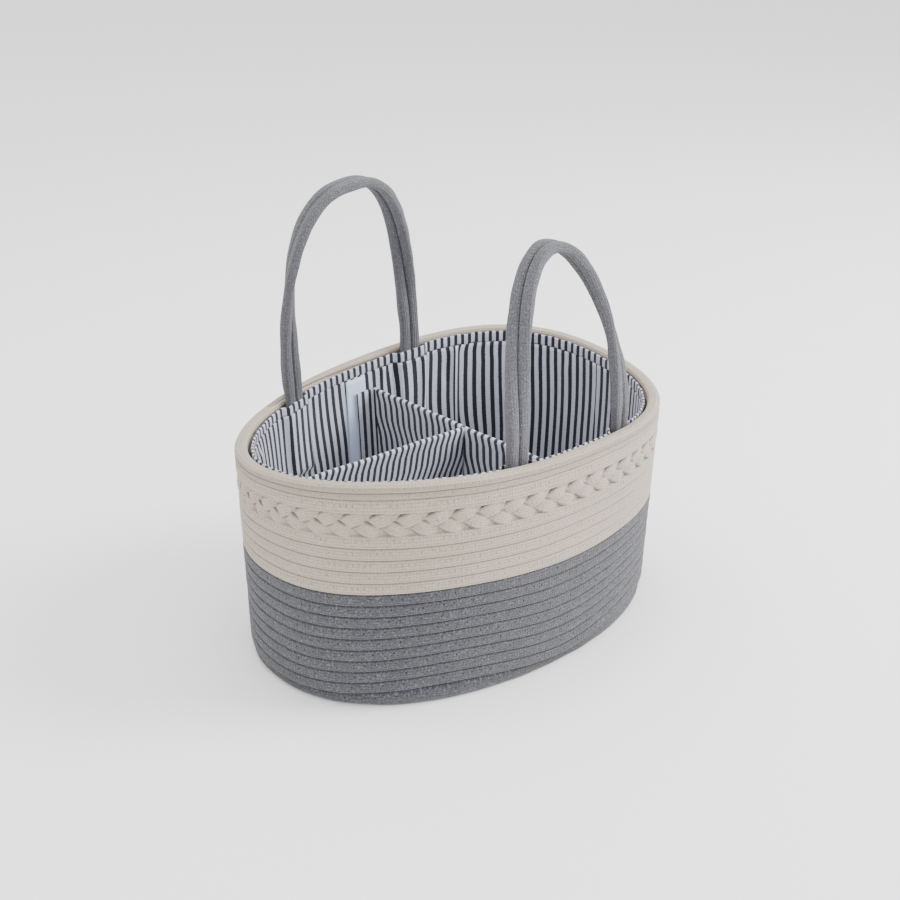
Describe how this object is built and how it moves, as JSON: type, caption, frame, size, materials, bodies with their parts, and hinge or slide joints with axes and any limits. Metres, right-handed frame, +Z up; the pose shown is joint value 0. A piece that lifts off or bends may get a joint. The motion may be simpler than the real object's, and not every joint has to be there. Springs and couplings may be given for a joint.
{
  "type": "diaper caddy",
  "caption": "Oval coiled-rope caddy with a braided band, striped cloth lining, lift-out T-shaped divider and fold-over rope carrying handles.",
  "frame": {"origin": "middle of the whole object's footprint, on the surface it stands on", "axes": "+Z up; +X along the long axis, away from the divider's stem; +Y towards the rear handle"},
  "size_m": [0.3598, 0.2662, 0.3428],
  "materials": {
    "cream_rope": "cotton rope, matte",
    "grey_rope": "heathered cotton rope, matte",
    "striped_cloth": "navy and white striped cotton",
    "hook_and_loop": "woven tape, matte",
    "stiffener": "plain board"
  },
  "bodies": {
    "basket": {"base_rope_coil": "grey_rope", "grey_wall_rope": "grey_rope", "cream_lower_rope": "cream_rope", "braid_strand_1": "cream_rope", "braid_strand_2": "cream_rope", "braid_strand_3": "cream_rope", "cream_upper_rope": "cream_rope", "lining_floor": "striped_cloth", "lining_wall": "striped_cloth", "lining_hem": "striped_cloth", "loop_strip_rear": "hook_and_loop", "loop_strip_front": "hook_and_loop", "loop_strip_left": "hook_and_loop", "front_handle_tail_1": "grey_rope", "front_handle_tail_2": "grey_rope", "front_handle_tail_3": "grey_rope", "front_handle_tail_4": "grey_rope", "rear_handle_tail_1": "grey_rope", "rear_handle_tail_2": "grey_rope", "rear_handle_tail_3": "grey_rope", "rear_handle_tail_4": "grey_rope"},
    "divider": {"divider_cross_cover": "striped_cloth", "divider_cross_board": "stiffener", "divider_stem_cover": "striped_cloth", "divider_stem_board": "stiffener", "divider_rear_flap": "striped_cloth", "divider_front_flap": "striped_cloth", "divider_left_flap": "striped_cloth", "hook_strip_rear": "hook_and_loop", "hook_strip_front": "hook_and_loop", "hook_strip_left": "hook_and_loop"},
    "front_handle": {"front_handle_rope_1": "grey_rope", "front_handle_rope_2": "grey_rope"},
    "rear_handle": {"rear_handle_rope_1": "grey_rope", "rear_handle_rope_2": "grey_rope"}
  },
  "joints": [
    {"name": "front_handle_fold", "type": "hinge", "parent": "basket", "child": "front_handle", "pos_m": [0.01081, -0.1129, 0.1874], "axis": [0.9992, 0.0387, -0.0137], "range_deg": [-37, 90]},
    {"name": "rear_handle_fold", "type": "hinge", "parent": "basket", "child": "rear_handle", "pos_m": [-0.01319, 0.11131, 0.18627], "axis": [0.9919, 0.0411, 0.1198], "range_deg": [-90, 35]},
    {"name": "divider_lift", "type": "slide", "parent": "basket", "child": "divider", "axis": [0, 0, 1], "range_m": [0, 0.1]}
  ]
}
